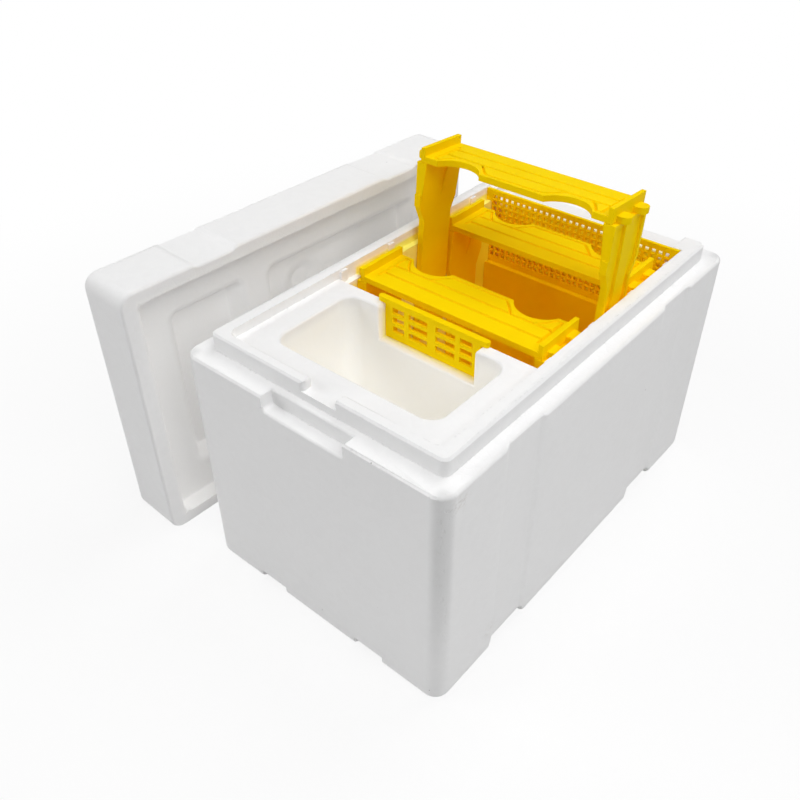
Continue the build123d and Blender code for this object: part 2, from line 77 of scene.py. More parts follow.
class Workbench:
    """Blender operators that the pieces share, each applied to one selected object."""

    MERGE_DISTANCE = 0.002 * MM
    GRID = 0.0001 * MM
    FLAT_ANGLE = math.radians(0.4)
    SMOOTH_ANGLE = math.radians(40)

    @staticmethod
    def only(piece: Piece) -> None:
        """Select this piece alone and make it active.

        Args:
            piece: The object that the next operators act on.
        """
        bpy.ops.object.select_all(action="DESELECT")
        piece.select_set(True)
        bpy.context.view_layer.objects.active = piece

    @classmethod
    def merged_copy(cls, node: str, name: str) -> Piece:
        """Copy a CAD node's mesh, join its loose triangles and dissolve its flat edges.

        Args:
            node: Name of the CAD node.
            name: Name of the new piece.

        Returns:
            The new piece, in the node's place.
        """
        piece = bpy.data.objects.new(name, frame["nodes"][node].data.copy())
        bpy.context.scene.collection.objects.link(piece)
        piece.data.name = name
        piece.data.materials.clear()
        cls.only(piece)
        bpy.ops.mesh.customdata_custom_splitnormals_clear()
        bpy.ops.object.mode_set(mode="EDIT")
        bpy.ops.mesh.select_all(action="SELECT")
        bpy.ops.mesh.remove_doubles(threshold=cls.MERGE_DISTANCE)
        bpy.ops.mesh.dissolve_limited(angle_limit=cls.FLAT_ANGLE)
        bpy.ops.object.mode_set(mode="OBJECT")
        return piece

    @classmethod
    def snap(cls, piece: Piece) -> None:
        """Put a piece's points on a fine grid, so that its flat faces are exactly flat.

        Args:
            piece: The piece to change.
        """
        places = np.empty(3 * len(piece.data.vertices))
        piece.data.vertices.foreach_get("co", places)
        piece.data.vertices.foreach_set("co", np.round(places / cls.GRID) * cls.GRID)

    @classmethod
    def cut(cls, piece: Piece, cutter: Piece) -> None:
        """Cut one piece's shape out of another, and remove the cutter and faces of no size.

        Args:
            piece: The piece that is cut.
            cutter: The closed shape that is taken out of it.
        """
        boolean = piece.modifiers.new("cut", "BOOLEAN")
        boolean.operation = "DIFFERENCE"
        boolean.solver = "EXACT"
        boolean.use_self = True
        boolean.object = cutter
        cls.apply(piece, boolean)
        bpy.data.objects.remove(cutter)
        bpy.ops.object.mode_set(mode="EDIT")
        bpy.ops.mesh.select_all(action="SELECT")
        bpy.ops.mesh.dissolve_degenerate(threshold=cls.GRID)
        bpy.ops.object.mode_set(mode="OBJECT")

    @classmethod
    def apply(cls, piece: Piece, modifier: bpy.types.Modifier) -> None:
        """Apply one modifier of a piece.

        Args:
            piece: The piece that holds the modifier.
            modifier: The modifier to apply.
        """
        cls.only(piece)
        bpy.ops.object.modifier_apply(modifier=modifier.name)

    @classmethod
    def smooth(cls, piece: Piece) -> None:
        """Shade a piece smooth over its gentle edges, and keep its large faces flat.

        Args:
            piece: The modelled piece.
        """
        cls.only(piece)
        bpy.ops.object.shade_smooth_by_angle(angle=cls.SMOOTH_ANGLE)
        flatten = piece.modifiers.new("flat faces", "WEIGHTED_NORMAL")
        flatten.keep_sharp = True
        cls.apply(piece, flatten)

    @classmethod
    def settle(cls, piece: Piece) -> None:
        """Put a piece's place, turn and size into its mesh."""
        cls.only(piece)
        bpy.ops.object.transform_apply(location=True, rotation=True, scale=True)

    @classmethod
    def join(cls, pieces: list[Piece], name: str) -> Piece:
        """Join several objects into one.

        Args:
            pieces: The objects to join.
            name: Name of the joined object.

        Returns:
            The joined object.
        """
        cls.only(pieces[0])
        for piece in pieces[1:]:
            piece.select_set(True)
        bpy.ops.object.join()
        pieces[0].name = name
        pieces[0].data.name = name
        return pieces[0]


class Flat:
    """One flat region of a mesh, by the loops of faces along its rim.

    A rounding takes up at most SHARED of the room towards an edge that is rounded as well, and OWN of the
    room towards anything else. Lengths under LEVEL and distances under TOUCH, in metres, count as none.
    """

    SHARED = 0.45
    OWN = 0.9
    LEVEL = 1e-9
    TOUCH = 1e-7

    def __init__(self, rim: list[bmesh.types.BMLoop], sharp: set[bmesh.types.BMEdge]) -> None:
        """Keep the rim's ends as arrays.

        Args:
            rim: Loops along the region's outline and holes.
            sharp: The mesh's sharp edges.
        """
        self.rim = rim
        self.starts = np.array([loop.vert.co[:] for loop in rim])
        self.ends = np.array([loop.link_loop_next.vert.co[:] for loop in rim])
        self.is_sharp = np.array([loop.edge in sharp for loop in rim])
        self.first = np.array([loop.vert.index for loop in rim])
        self.second = np.array([loop.link_loop_next.vert.index for loop in rim])

    def room(self, loop: bmesh.types.BMLoop) -> float:
        """How far one edge of the rim can be rounded into this flat region.

        Args:
            loop: The edge's loop on this side.

        Returns:
            The widest rounding in metres.
        """
        here, there = loop.vert, loop.link_loop_next.vert
        run = there.co - here.co
        along = np.array((run / run.length)[:])
        inward = np.cross(np.array(loop.face.normal[:]), along)
        ends = [here.index, there.index]
        apart = ~(np.isin(self.first, ends) | np.isin(self.second, ends))
        room = self.clear_across(np.array(here.co[:]), along, inward, run.length, apart)
        return min(room, self.clear_at_ends(loop, along, inward, run.length))

    def clear_across(
        self, origin: np.ndarray, along: np.ndarray, inward: np.ndarray, length: float, apart: np.ndarray
    ) -> float:
        """Room between an edge and the rim opposite to it.

        Args:
            origin: Start of the edge.
            along: Direction of the edge.
            inward: Direction into the region.
            length: Length of the edge.
            apart: Which of the rim's edges don't touch this one.

        Returns:
            The room in metres, which is less where the opposite edge is rounded as well.
        """
        starts = self.starts[apart] - origin
        ends = self.ends[apart] - origin
        low, high = starts @ along, ends @ along
        beside = (np.maximum(low, high) > 0) & (np.minimum(low, high) < length)
        if not beside.any():
            return math.inf
        low, high = low[beside], high[beside]
        near, far = (starts @ inward)[beside], (ends @ inward)[beside]
        span = np.where(np.abs(high - low) < self.LEVEL, np.inf, high - low)
        shares = [np.clip((limit - low) / span, 0, 1) for limit in (0, length)]
        reaches = [near + share * (far - near) for share in shares]
        level = np.isinf(span)
        reach = np.where(level, np.minimum(near, far), np.minimum(*reaches))
        reach = np.where(reach > self.TOUCH, reach, np.inf)
        return float((reach * np.where(self.is_sharp[apart][beside], self.SHARED, self.OWN)).min())

    def clear_at_ends(
        self, loop: bmesh.types.BMLoop, along: np.ndarray, inward: np.ndarray, length: float
    ) -> float:
        """Room at the two ends of an edge, where it meets the next edges of the rim.

        Args:
            loop: The edge's loop on this side.
            along: Direction of the edge.
            inward: Direction into the region.
            length: Length of the edge.

        Returns:
            The room in metres.
        """
        room = math.inf
        spent = 0.0
        here, there = loop.vert.index, loop.link_loop_next.vert.index
        for index in np.flatnonzero((self.first == there) | (self.second == here)):
            if self.rim[index] == loop:
                continue
            step = self.ends[index] - self.starts[index]
            size = float(np.linalg.norm(step))
            side = step @ inward if self.first[index] == there else -(step @ inward)
            turn = math.atan2(side, step @ along)
            if self.is_sharp[index]:
                spent += math.tan(max(turn, 0.0) / 2)
            else:
                room = min(room, self.OWN * size * abs(math.sin(turn)))
        return min(room, self.OWN * length / spent) if spent > 0 else room


@dataclass(frozen=True)
class EdgeRounding:
    """Rounding of a moulding's edges, each as far as the faces beside it have room.

    The outer radius is that of standing edges and the inner one that of hollow edges. The soft radius is
    that of the standing edges inside the soft box, where there is one. A face of a rounding has at most
    face_corners corners, and is turned over where its cosine to the plain surface is under inside_out.
    """

    outer: float
    inner: float
    segments: int
    soft: float = 0.0
    soft_low: Corner = (0.0, 0.0, 0.0)
    soft_high: Corner = (0.0, 0.0, 0.0)
    sharp_turn: float = math.radians(21)
    flat_turn: float = math.radians(0.5)
    least: float = 0.08 * MM
    tries: int = 8
    stray_share: float = 0.5
    short_share: float = 4.0
    ease_share: float = 0.6
    face_corners: int = 4
    inside_out: float = -0.3

    def apply(self, piece: Piece) -> None:
        """Round the sharp edges of a piece, and less where the rounding would leave its surface.

        Args:
            piece: The piece to change.
        """
        plain = bmesh.new()
        plain.from_mesh(piece.data)
        surface = BVHTree.FromBMesh(plain)
        weights = plain.edges.layers.float.new("bevel_weight_edge")
        widths = self.widths(plain)
        for reach in range(1, self.tries + 1):
            for edge in plain.edges:
                edge[weights] = widths.get(edge, 0.0) / self.widest
            plain.to_mesh(piece.data)
            self.bevel(piece)
            strays = self.strays(piece, surface)
            if not strays:
                break
            widths = self.eased(widths, strays, reach * self.outer)
        plain.free()

    def bevel(self, piece: Piece) -> None:
        """Bevel a piece by its edges' weights.

        Args:
            piece: The piece to change.
        """
        bevel = piece.modifiers.new("round edges", "BEVEL")
        bevel.width = self.widest
        bevel.segments = self.segments
        bevel.limit_method = "WEIGHT"
        bevel.use_clamp_overlap = False
        bevel.loop_slide = False
        Workbench.apply(piece, bevel)

    def strays(self, piece: Piece, surface: BVHTree) -> Strays:
        """Points of a rounded piece that lie off its plain surface, or on a face turned inside out.

        Args:
            piece: The rounded piece.
            surface: Its surface before rounding.

        Returns:
            Each point and how far it is from the surface.
        """
        strays = []
        for vertex in piece.data.vertices:
            apart = surface.find_nearest(vertex.co)[3]
            if apart > self.stray_share * self.widest:
                strays.append((vertex.co.copy(), apart))
        for face in piece.data.polygons:
            if len(face.vertices) > self.face_corners:
                continue
            _, normal, _, apart = surface.find_nearest(face.center)
            if normal.dot(face.normal) < self.inside_out:
                strays.append((face.center.copy(), apart))
        return strays

    def eased(self, widths: Widths, strays: Strays, reach: float) -> Widths:
        """Widths with short edges near a stray point left sharp, and long ones rounded less.

        Args:
            widths: Widths in metres by edge.
            strays: The stray points and how far off they are.
            reach: How near to a stray point an edge is eased.

        Returns:
            The new widths.
        """
        eased = {}
        for edge, width in widths.items():
            ends = [vertex.co for vertex in edge.verts]
            gap = min((end - point).length - apart for end in ends for point, apart in strays)
            is_long = edge.calc_length() > self.short_share * self.outer
            if gap > reach:
                eased[edge] = width
            elif is_long and self.ease_share * width > self.least:
                eased[edge] = self.ease_share * width
        return eased

    def widths(self, mesh: bmesh.types.BMesh) -> Widths:
        """Width of the rounding of each edge that is rounded.

        Args:
            mesh: The mesh of the piece.

        Returns:
            Widths in metres by edge.
        """
        joined = [edge for edge in mesh.edges if edge.is_manifold]
        sharp = {edge for edge in joined if edge.calc_face_angle() > self.sharp_turn}
        flats = self.flats(mesh, sharp)
        widths = {}
        for edge in sharp:
            width = min(self.limit(edge), *(flats[loop.face].room(loop) for loop in edge.link_loops))
            if width > self.least:
                widths[edge] = width
        return widths

    def limit(self, edge: bmesh.types.BMEdge) -> float:
        """Widest rounding that an edge gets by its kind and place.

        Args:
            edge: A sharp edge.

        Returns:
            The width in metres.
        """
        if edge.calc_face_angle_signed() < 0:
            return self.inner
        spans = [zip(self.soft_low, vertex.co, self.soft_high) for vertex in edge.verts]
        inside = all(low < value < high for span in spans for low, value, high in span)
        return self.soft if inside else self.outer

    @property
    def widest(self) -> float:
        """Width that an edge's weight of 1 stands for."""
        return max(self.outer, self.soft)

    def flats(
        self, mesh: bmesh.types.BMesh, sharp: set[bmesh.types.BMEdge]
    ) -> dict[bmesh.types.BMFace, Flat]:
        """Group the faces that lie in one plane beside each other.

        Args:
            mesh: The mesh of the piece.
            sharp: The mesh's sharp edges.

        Returns:
            The flat region of each face.
        """
        mesh.verts.index_update()
        flats = {}
        for first in mesh.faces:
            if first in flats:
                continue
            group, waiting = {first}, [first]
            while waiting:
                for edge in waiting.pop().edges:
                    if edge.is_manifold and edge.calc_face_angle() < self.flat_turn:
                        fresh = set(edge.link_faces) - group
                        group |= fresh
                        waiting += fresh
            rim = [loop for face in group for loop in face.loops if not set(loop.edge.link_faces) <= group]
            flat = Flat(rim, sharp)
            flats.update((face, flat) for face in group)
        return flats


class NodeBench:
    """Shader nodes of one material or world, placed and joined in code."""

    EDGE_SAMPLES = 6
    MIX_INPUTS = (0, 6, 7)
    MIX_RESULT = 2
    SEEN_RAYS = ("Is Camera Ray", "Is Glossy Ray", "Is Transmission Ray")

    def __init__(self, holder: bpy.types.Material | bpy.types.World) -> None:
        """Open the holder's nodes.

        Args:
            holder: The material or world that the nodes belong to.
        """
        holder.use_nodes = True
        self.holder = holder
        self.nodes = holder.node_tree.nodes
        self.links = holder.node_tree.links

    @classmethod
    def of_material(cls, name: str) -> "NodeBench":
        """Start a new material with its principled shader."""
        return cls(bpy.data.materials.new(name))

    @property
    def shader(self) -> bpy.types.Node:
        """The material's principled shader."""
        return self.nodes["Principled BSDF"]

    def coordinates(self) -> Socket:
        """Socket of the Object coordinates."""
        return self.add("TexCoord").outputs["Object"]

    def give(self, socket: Socket, value: object) -> None:
        """Set a socket to a value, or link it where the value is another node's output.

        Args:
            socket: The input socket.
            value: A number, a colour, a vector or an output socket.
        """
        if isinstance(value, Socket):
            self.links.new(value, socket)
        else:
            socket.default_value = value

    def add(
        self, kind: str, sockets: dict[str | int, object] | None = None, **settings: object
    ) -> bpy.types.Node:
        """Add one node.

        Args:
            kind: Node type without its ShaderNode prefix.
            sockets: Input values or output sockets by input name or number.
            **settings: Attributes of the node.

        Returns:
            The new node.
        """
        node = self.nodes.new("ShaderNode" + kind)
        for key, value in settings.items():
            setattr(node, key, value)
        for key, value in (sockets or {}).items():
            self.give(node.inputs[key], value)
        return node

    def math(self, operation: str, first: object, second: object) -> Socket:
        """Join two numbers by an operation.

        Args:
            operation: Name of the Math node's operation.
            first: A number or a socket.
            second: A number or a socket.

        Returns:
            Socket of the result.
        """
        return self.add("Math", {0: first, 1: second}, operation=operation).outputs[0]

    def fade(self, value: Socket, low: float, high: float) -> Socket:
        """Turn a number into a soft step from 0 at low to 1 at high.

        Args:
            value: Socket of the number.
            low: Value at which the step is 0.
            high: Value at which the step is 1.

        Returns:
            Socket of the step.
        """
        sockets = {"Value": value, "From Min": low, "From Max": high}
        return self.add("MapRange", sockets, interpolation_type="SMOOTHSTEP").outputs["Result"]

    def around(self, middle: float, spread: float, share: Socket) -> Socket:
        """Let a number vary about its middle.

        Args:
            middle: The number's middle.
            spread: How far apart its lowest and highest values are.
            share: Socket of a share from 0 to 1.

        Returns:
            Socket of the number.
        """
        return self.math("ADD", self.math("MULTIPLY", share, spread), middle - spread / 2)

    def mix(self, share: object, first: object, second: object) -> Socket:
        """Mix two colours.

        Args:
            share: How much of the second colour shows, a number or a socket.
            first: First colour or its socket.
            second: Second colour or its socket.

        Returns:
            Socket of the mixed colour.
        """
        node = self.add("Mix", data_type="RGBA")
        for index, value in zip(self.MIX_INPUTS, (share, first, second)):
            self.give(node.inputs[index], (*value, 1.0) if isinstance(value, tuple) else value)
        return node.outputs[self.MIX_RESULT]

    def noise(self, place: Socket, size: float, detail: float) -> Socket:
        """Add noise.

        Args:
            place: Socket of the coordinates.
            size: Size of its features in metres.
            detail: Number of finer layers.

        Returns:
            Socket of its height.
        """
        sockets = {"Vector": place, "Scale": 1 / size, "Detail": detail}
        return self.add("TexNoise", sockets).outputs["Fac"]

    def bump(self, height: Socket, depth: float, under: object = None) -> Socket:
        """Raise a surface by a height map.

        Args:
            height: Socket of the height, from 0 to 1.
            depth: Height in metres that 1 stands for.
            under: Normal socket of the relief below this one.

        Returns:
            Socket of the new normal.
        """
        sockets = {"Height": height, "Distance": depth, "Strength": 1.0}
        if under is not None:
            sockets["Normal"] = under
        return self.add("Bump", sockets).outputs["Normal"]

    def edges(self, radius: float, low: float, high: float) -> Socket:
        """Share that is 1 along edges and 0 on flats, from how a rounded normal turns away.

        Args:
            radius: Reach of the rounding in metres.
            low: Turn at which the share is 0, as 1 minus a cosine.
            high: Turn at which the share is 1.

        Returns:
            Socket of the share.
        """
        rounded = self.add("Bevel", {"Radius": radius}, samples=self.EDGE_SAMPLES).outputs["Normal"]
        plain = self.add("NewGeometry").outputs["True Normal"]
        aligned = self.add("VectorMath", {0: rounded, 1: plain}, operation="DOT_PRODUCT").outputs["Value"]
        return self.fade(self.math("SUBTRACT", 1.0, aligned), low, high)

    def seen(self) -> Socket:
        """Share that is 1 for camera, glossy and clear rays, and 0 for the light that falls.

        Returns:
            Socket of the share.
        """
        rays = self.add("LightPath").outputs
        share = rays[self.SEEN_RAYS[0]]
        for ray in self.SEEN_RAYS[1:]:
            share = self.math("MAXIMUM", share, rays[ray])
        return share

    def finish(self, **sockets: object) -> bpy.types.Material:
        """Give the principled shader its sockets.

        Args:
            **sockets: Values or sockets by input name, with underscores for spaces.

        Returns:
            The finished material.
        """
        for key, value in sockets.items():
            self.give(self.shader.inputs[key.replace("_", " ")], value)
        return self.holder


@dataclass(frozen=True)
class PaintedLight:
    """Painted light on the foam inside one box-shaped space, which fades out beyond it."""

    colour: Colour
    low: Corner
    high: Corner
    soft: float


@dataclass(frozen=True)
class Scuff:
    """Small brownish rub on the foam."""

    place: Corner
    reach: float
    share: float


@dataclass(frozen=True)
class FoamFinish:
    """Moulded bead foam: pressed beads under a thin skin, specks, rough edges, painted shade along the
    upright corners over real dents, and painted light in some spaces.

    Each step is the pair of values between which a mark fades in.
    """

    name: str
    colour: Colour = (0.955, 0.953, 0.953)
    bead_shade: Colour = (0.925, 0.923, 0.923)
    # Grey of worn edges, and also the painted shade along the upright corners.
    wear_and_shade: Colour = (0.80, 0.80, 0.80)
    speck: Colour = (0.30, 0.29, 0.28)
    scuff_colour: Colour = (0.42, 0.37, 0.31)
    bead: float = 3.4 * MM
    bead_depth: float = 0.02 * MM
    crease_share: float = 0.12
    grain: float = 0.7 * MM
    grain_depth: float = 0.012 * MM
    patch: float = 38 * MM
    edge: float = 2.2 * MM
    edge_depth: float = 0.4 * MM
    edge_step: Point = (0.01, 0.16)
    wear_step: Point = (0.5, 0.72)
    dent: float = 3.2 * MM
    dent_depth: float = 0.3 * MM
    dent_step: Point = (0.55, 0.75)
    scuff_step: Point = (0.38, 0.72)
    corner_fade: float = 4.5 * MM
    # Painted shade of the upright corners: heights over which it darkens towards the top, and its share at
    # the foot.
    corner_shade_rise: Point = (20 * MM, 105 * MM)
    corner_shade_foot: float = 0.15
    speck_cell: float = 17 * MM
    speck_size: float = 0.35 * MM
    speck_rarity: float = 0.6
    layers: float = 2.0
    fine_layers: float = 3.0
    roughness: float = 0.82
    roughness_spread: float = 0.12
    specular: float = 0.28
    # Lines on X and Y where the painted shade of the upright corners begins.
    corner: Point | None = None
    # Painted light: lighter foam and yellow bounce light inside some spaces.
    painted_lights: tuple[PaintedLight, ...] = ()
    scuffs: tuple[Scuff, ...] = ()

    def material(self) -> bpy.types.Material:
        """Build the material.

        Returns:
            The finished foam material.
        """
        bench = NodeBench.of_material(self.name)
        place = bench.coordinates()
        grain = bench.noise(place, self.grain, self.layers)
        colour = self.bead_colour(bench, place)
        normal = bench.bump(grain, self.grain_depth, self.creased(bench, place))
        colour, normal = self.worn_edges(bench, place, colour, normal)
        # Painted shade along the upright corners, over dents in the relief.
        if self.corner is not None:
            colour, normal = self.shaded_corners(bench, place, colour, normal)
        colour = bench.mix(self.specks(bench, place), colour, self.speck)
        for scuff in self.scuffs:
            colour = bench.mix(self.scuffed(bench, place, scuff), colour, self.scuff_colour)
        # Painted light: lighter foam and yellow bounce light inside some spaces.
        for painted_light in self.painted_lights:
            colour = bench.mix(self.painted_light_share(bench, place, painted_light), colour, painted_light.colour)
        return bench.finish(
            Base_Color=colour,
            Roughness=bench.around(self.roughness, self.roughness_spread, grain),
            Normal=normal,
            Specular_IOR_Level=self.specular,
        )

    def bead_colour(self, bench: NodeBench, place: Socket) -> Socket:
        """Colour of the skin, a little different from bead to bead and from patch to patch.

        Args:
            bench: The material's node bench.
            place: Socket of the object coordinates.

        Returns:
            Socket of the colour.
        """
        cells = bench.add("TexVoronoi", {"Vector": place, "Scale": 1 / self.bead}, feature="F1")
        tone = bench.add("SeparateColor", {"Color": cells.outputs["Color"]}).outputs["Red"]
        patches = bench.noise(place, self.patch, self.layers)
        shade = bench.math("DIVIDE", bench.math("ADD", tone, patches), 2.0)
        return bench.mix(shade, self.colour, self.bead_shade)

    def creased(self, bench: NodeBench, place: Socket) -> Socket:
        """Normal of the skin with the creases between its beads.

        Args:
            bench: The material's node bench.
            place: Socket of the object coordinates.

        Returns:
            Socket of the normal.
        """
        beads = {"Vector": place, "Scale": 1 / self.bead}
        creases = bench.add("TexVoronoi", beads, feature="DISTANCE_TO_EDGE").outputs["Distance"]
        return bench.bump(bench.fade(creases, 0.0, self.crease_share), self.bead_depth)

    def worn_edges(
        self, bench: NodeBench, place: Socket, colour: Socket, normal: Socket
    ) -> tuple[Socket, Socket]:
        """Roughen and grey the foam along its edges.

        Args:
            bench: The material's node bench.
            place: Socket of the object coordinates.
            colour: Socket of the colour so far.
            normal: Socket of the normal so far.

        Returns:
            Sockets of the new colour and normal.
        """
        edge = bench.edges(self.edge, *self.edge_step)
        rough = bench.noise(place, self.bead / 2, self.fine_layers)
        wear = bench.math("MULTIPLY", edge, bench.fade(rough, *self.wear_step))
        relief = bench.bump(bench.math("MULTIPLY", edge, rough), self.edge_depth, normal)
        return bench.mix(wear, colour, self.wear_and_shade), relief

    def shaded_corners(
        self, bench: NodeBench, place: Socket, colour: Socket, normal: Socket
    ) -> tuple[Socket, Socket]:
        """Paint shade along the upright corners of the foam, and dent it there.

        Args:
            bench: The material's node bench.
            place: Socket of the object coordinates.
            colour: Socket of the colour so far.
            normal: Socket of the normal so far.

        Returns:
            Sockets of the new colour and normal.
        """
        band = self.corner_shade_band(bench, place)
        dents = bench.fade(bench.noise(place, self.dent, self.fine_layers), *self.dent_step)
        relief = bench.bump(bench.math("MULTIPLY", band, dents), -self.dent_depth, normal)
        # Painted shade: the corner band is mixed towards grey.
        return bench.mix(band, colour, self.wear_and_shade), relief

    def corner_shade_band(self, bench: NodeBench, place: Socket) -> Socket:
        """Share of the painted shade along the upright corners, most near the top.

        Args:
            bench: The material's node bench.
            place: Socket of the object coordinates.

        Returns:
            Socket of the share.
        """
        axes = bench.add("SeparateXYZ", {"Vector": place})
        rise = bench.fade(axes.outputs["Z"], *self.corner_shade_rise)
        share = bench.math("ADD", bench.math("MULTIPLY", rise, 1 - self.corner_shade_foot), self.corner_shade_foot)
        for axis, line in zip("XY", self.corner):
            outward = bench.math("ABSOLUTE", axes.outputs[axis], 0.0)
            share = bench.math("MULTIPLY", share, bench.fade(outward, line, line + self.corner_fade))
        return share

    def specks(self, bench: NodeBench, place: Socket) -> Socket:
        """Share that is 1 on a few tiny dark specks.

        Args:
            bench: The material's node bench.
            place: Socket of the object coordinates.

        Returns:
            Socket of the share.
        """
        cells = bench.add("TexVoronoi", {"Vector": place, "Scale": 1 / self.speck_cell}, feature="F1")
        chance = bench.add("SeparateColor", {"Color": cells.outputs["Color"]}).outputs["Green"]
        reach = self.speck_size / self.speck_cell
        near = bench.math("SUBTRACT", 1.0, bench.fade(cells.outputs["Distance"], reach / 2, reach))
        return bench.math("MULTIPLY", near, bench.math("GREATER_THAN", chance, self.speck_rarity))

    def scuffed(self, bench: NodeBench, place: Socket, scuff: Scuff) -> Socket:
        """Share of one rub, broken up by the beads under it.

        Args:
            bench: The material's node bench.
            place: Socket of the object coordinates.
            scuff: Where the rub is.

        Returns:
            Socket of the share.
        """
        apart = bench.add("VectorMath", {0: place, 1: scuff.place}, operation="DISTANCE").outputs["Value"]
        near = bench.math("SUBTRACT", 1.0, bench.fade(apart, 0.0, scuff.reach))
        broken = bench.fade(bench.noise(place, self.dent / 2, self.fine_layers), *self.scuff_step)
        return bench.math("MULTIPLY", bench.math("MULTIPLY", near, broken), scuff.share)

    def painted_light_share(self, bench: NodeBench, place: Socket, painted_light: PaintedLight) -> Socket:
        """Share of the painted light inside its space.

        Args:
            bench: The material's node bench.
            place: Socket of the object coordinates.
            painted_light: The space with painted light.

        Returns:
            Socket of the share.
        """
        axes = bench.add("SeparateXYZ", {"Vector": place})
        share = None
        for axis, low, high in zip("XYZ", painted_light.low, painted_light.high):
            value = axes.outputs[axis]
            inside = bench.math(
                "MULTIPLY",
                bench.fade(value, low - painted_light.soft, low),
                bench.math("SUBTRACT", 1.0, bench.fade(value, high, high + painted_light.soft)),
            )
            share = inside if share is None else bench.math("MULTIPLY", share, inside)
        return share


@dataclass(frozen=True)
class PlasticFinish:
    """Moulded yellow plastic: satin skin with faint flow marks and a painted highlight along its edges.

    Each step is the pair of values between which a mark fades in.
    """

    name: str
    colour: Colour = (0.99, 0.71, 0.001)
    deep: Colour = (0.98, 0.68, 0.001)
    # Painted highlight along the plastic's edges.
    painted_edge_highlight: Colour = (1.0, 0.765, 0.003)
    flow: float = 16 * MM
    flow_step: Point = (0.35, 0.7)
    grain: float = 0.5 * MM
    grain_depth: float = 0.012 * MM
    edge: float = 0.5 * MM
    edge_step: Point = (0.01, 0.2)
    layers: float = 2.0
    fine_layers: float = 3.0
    roughness: float = 0.48
    roughness_spread: float = 0.14
    specular: float = 0.02

    def material(self) -> bpy.types.Material:
        """Build the material.

        Returns:
            The finished plastic material.
        """
        bench = NodeBench.of_material(self.name)
        place = bench.coordinates()
        flow = bench.noise(place, self.flow, self.fine_layers)
        colour = bench.mix(bench.fade(flow, *self.flow_step), self.colour, self.deep)
        # Painted highlight along the edges.
        colour = bench.mix(bench.edges(self.edge, *self.edge_step), colour, self.painted_edge_highlight)
        return bench.finish(
            Base_Color=colour,
            Roughness=bench.around(self.roughness, self.roughness_spread, flow),
            Normal=bench.bump(bench.noise(place, self.grain, self.layers), self.grain_depth),
            Specular_IOR_Level=self.specular,
        )


@dataclass
class Moulding:
    """One moulded piece: its CAD node with rounded edges, in its finish."""

    node: str
    body: str
    name: str
    slot: Slot
    rounding: EdgeRounding

    def build(self, material: bpy.types.Material) -> Piece:
        """Model the piece and dress it.

        Args:
            material: Its finish.

        Returns:
            The finished piece, which stands for its node and rides on its body.
        """
        piece = Workbench.merged_copy(self.node, self.name)
        self.rounding.apply(piece)
        self.detail(piece)
        Workbench.smooth(piece)
        return self.dress(piece, material)

    def detail(self, piece: Piece) -> None:
        """Add what the piece has beyond its rounded edges: nothing on a plain moulding."""

    def dress(self, piece: Piece, material: bpy.types.Material) -> Piece:
        """Give the piece its finish and its body, and hide the CAD node that it stands for.

        Args:
            piece: The modelled piece.
            material: Its finish.

        Returns:
            The same piece.
        """
        piece.data.materials.append(material)
        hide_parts(self.node)
        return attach(piece, self.body)


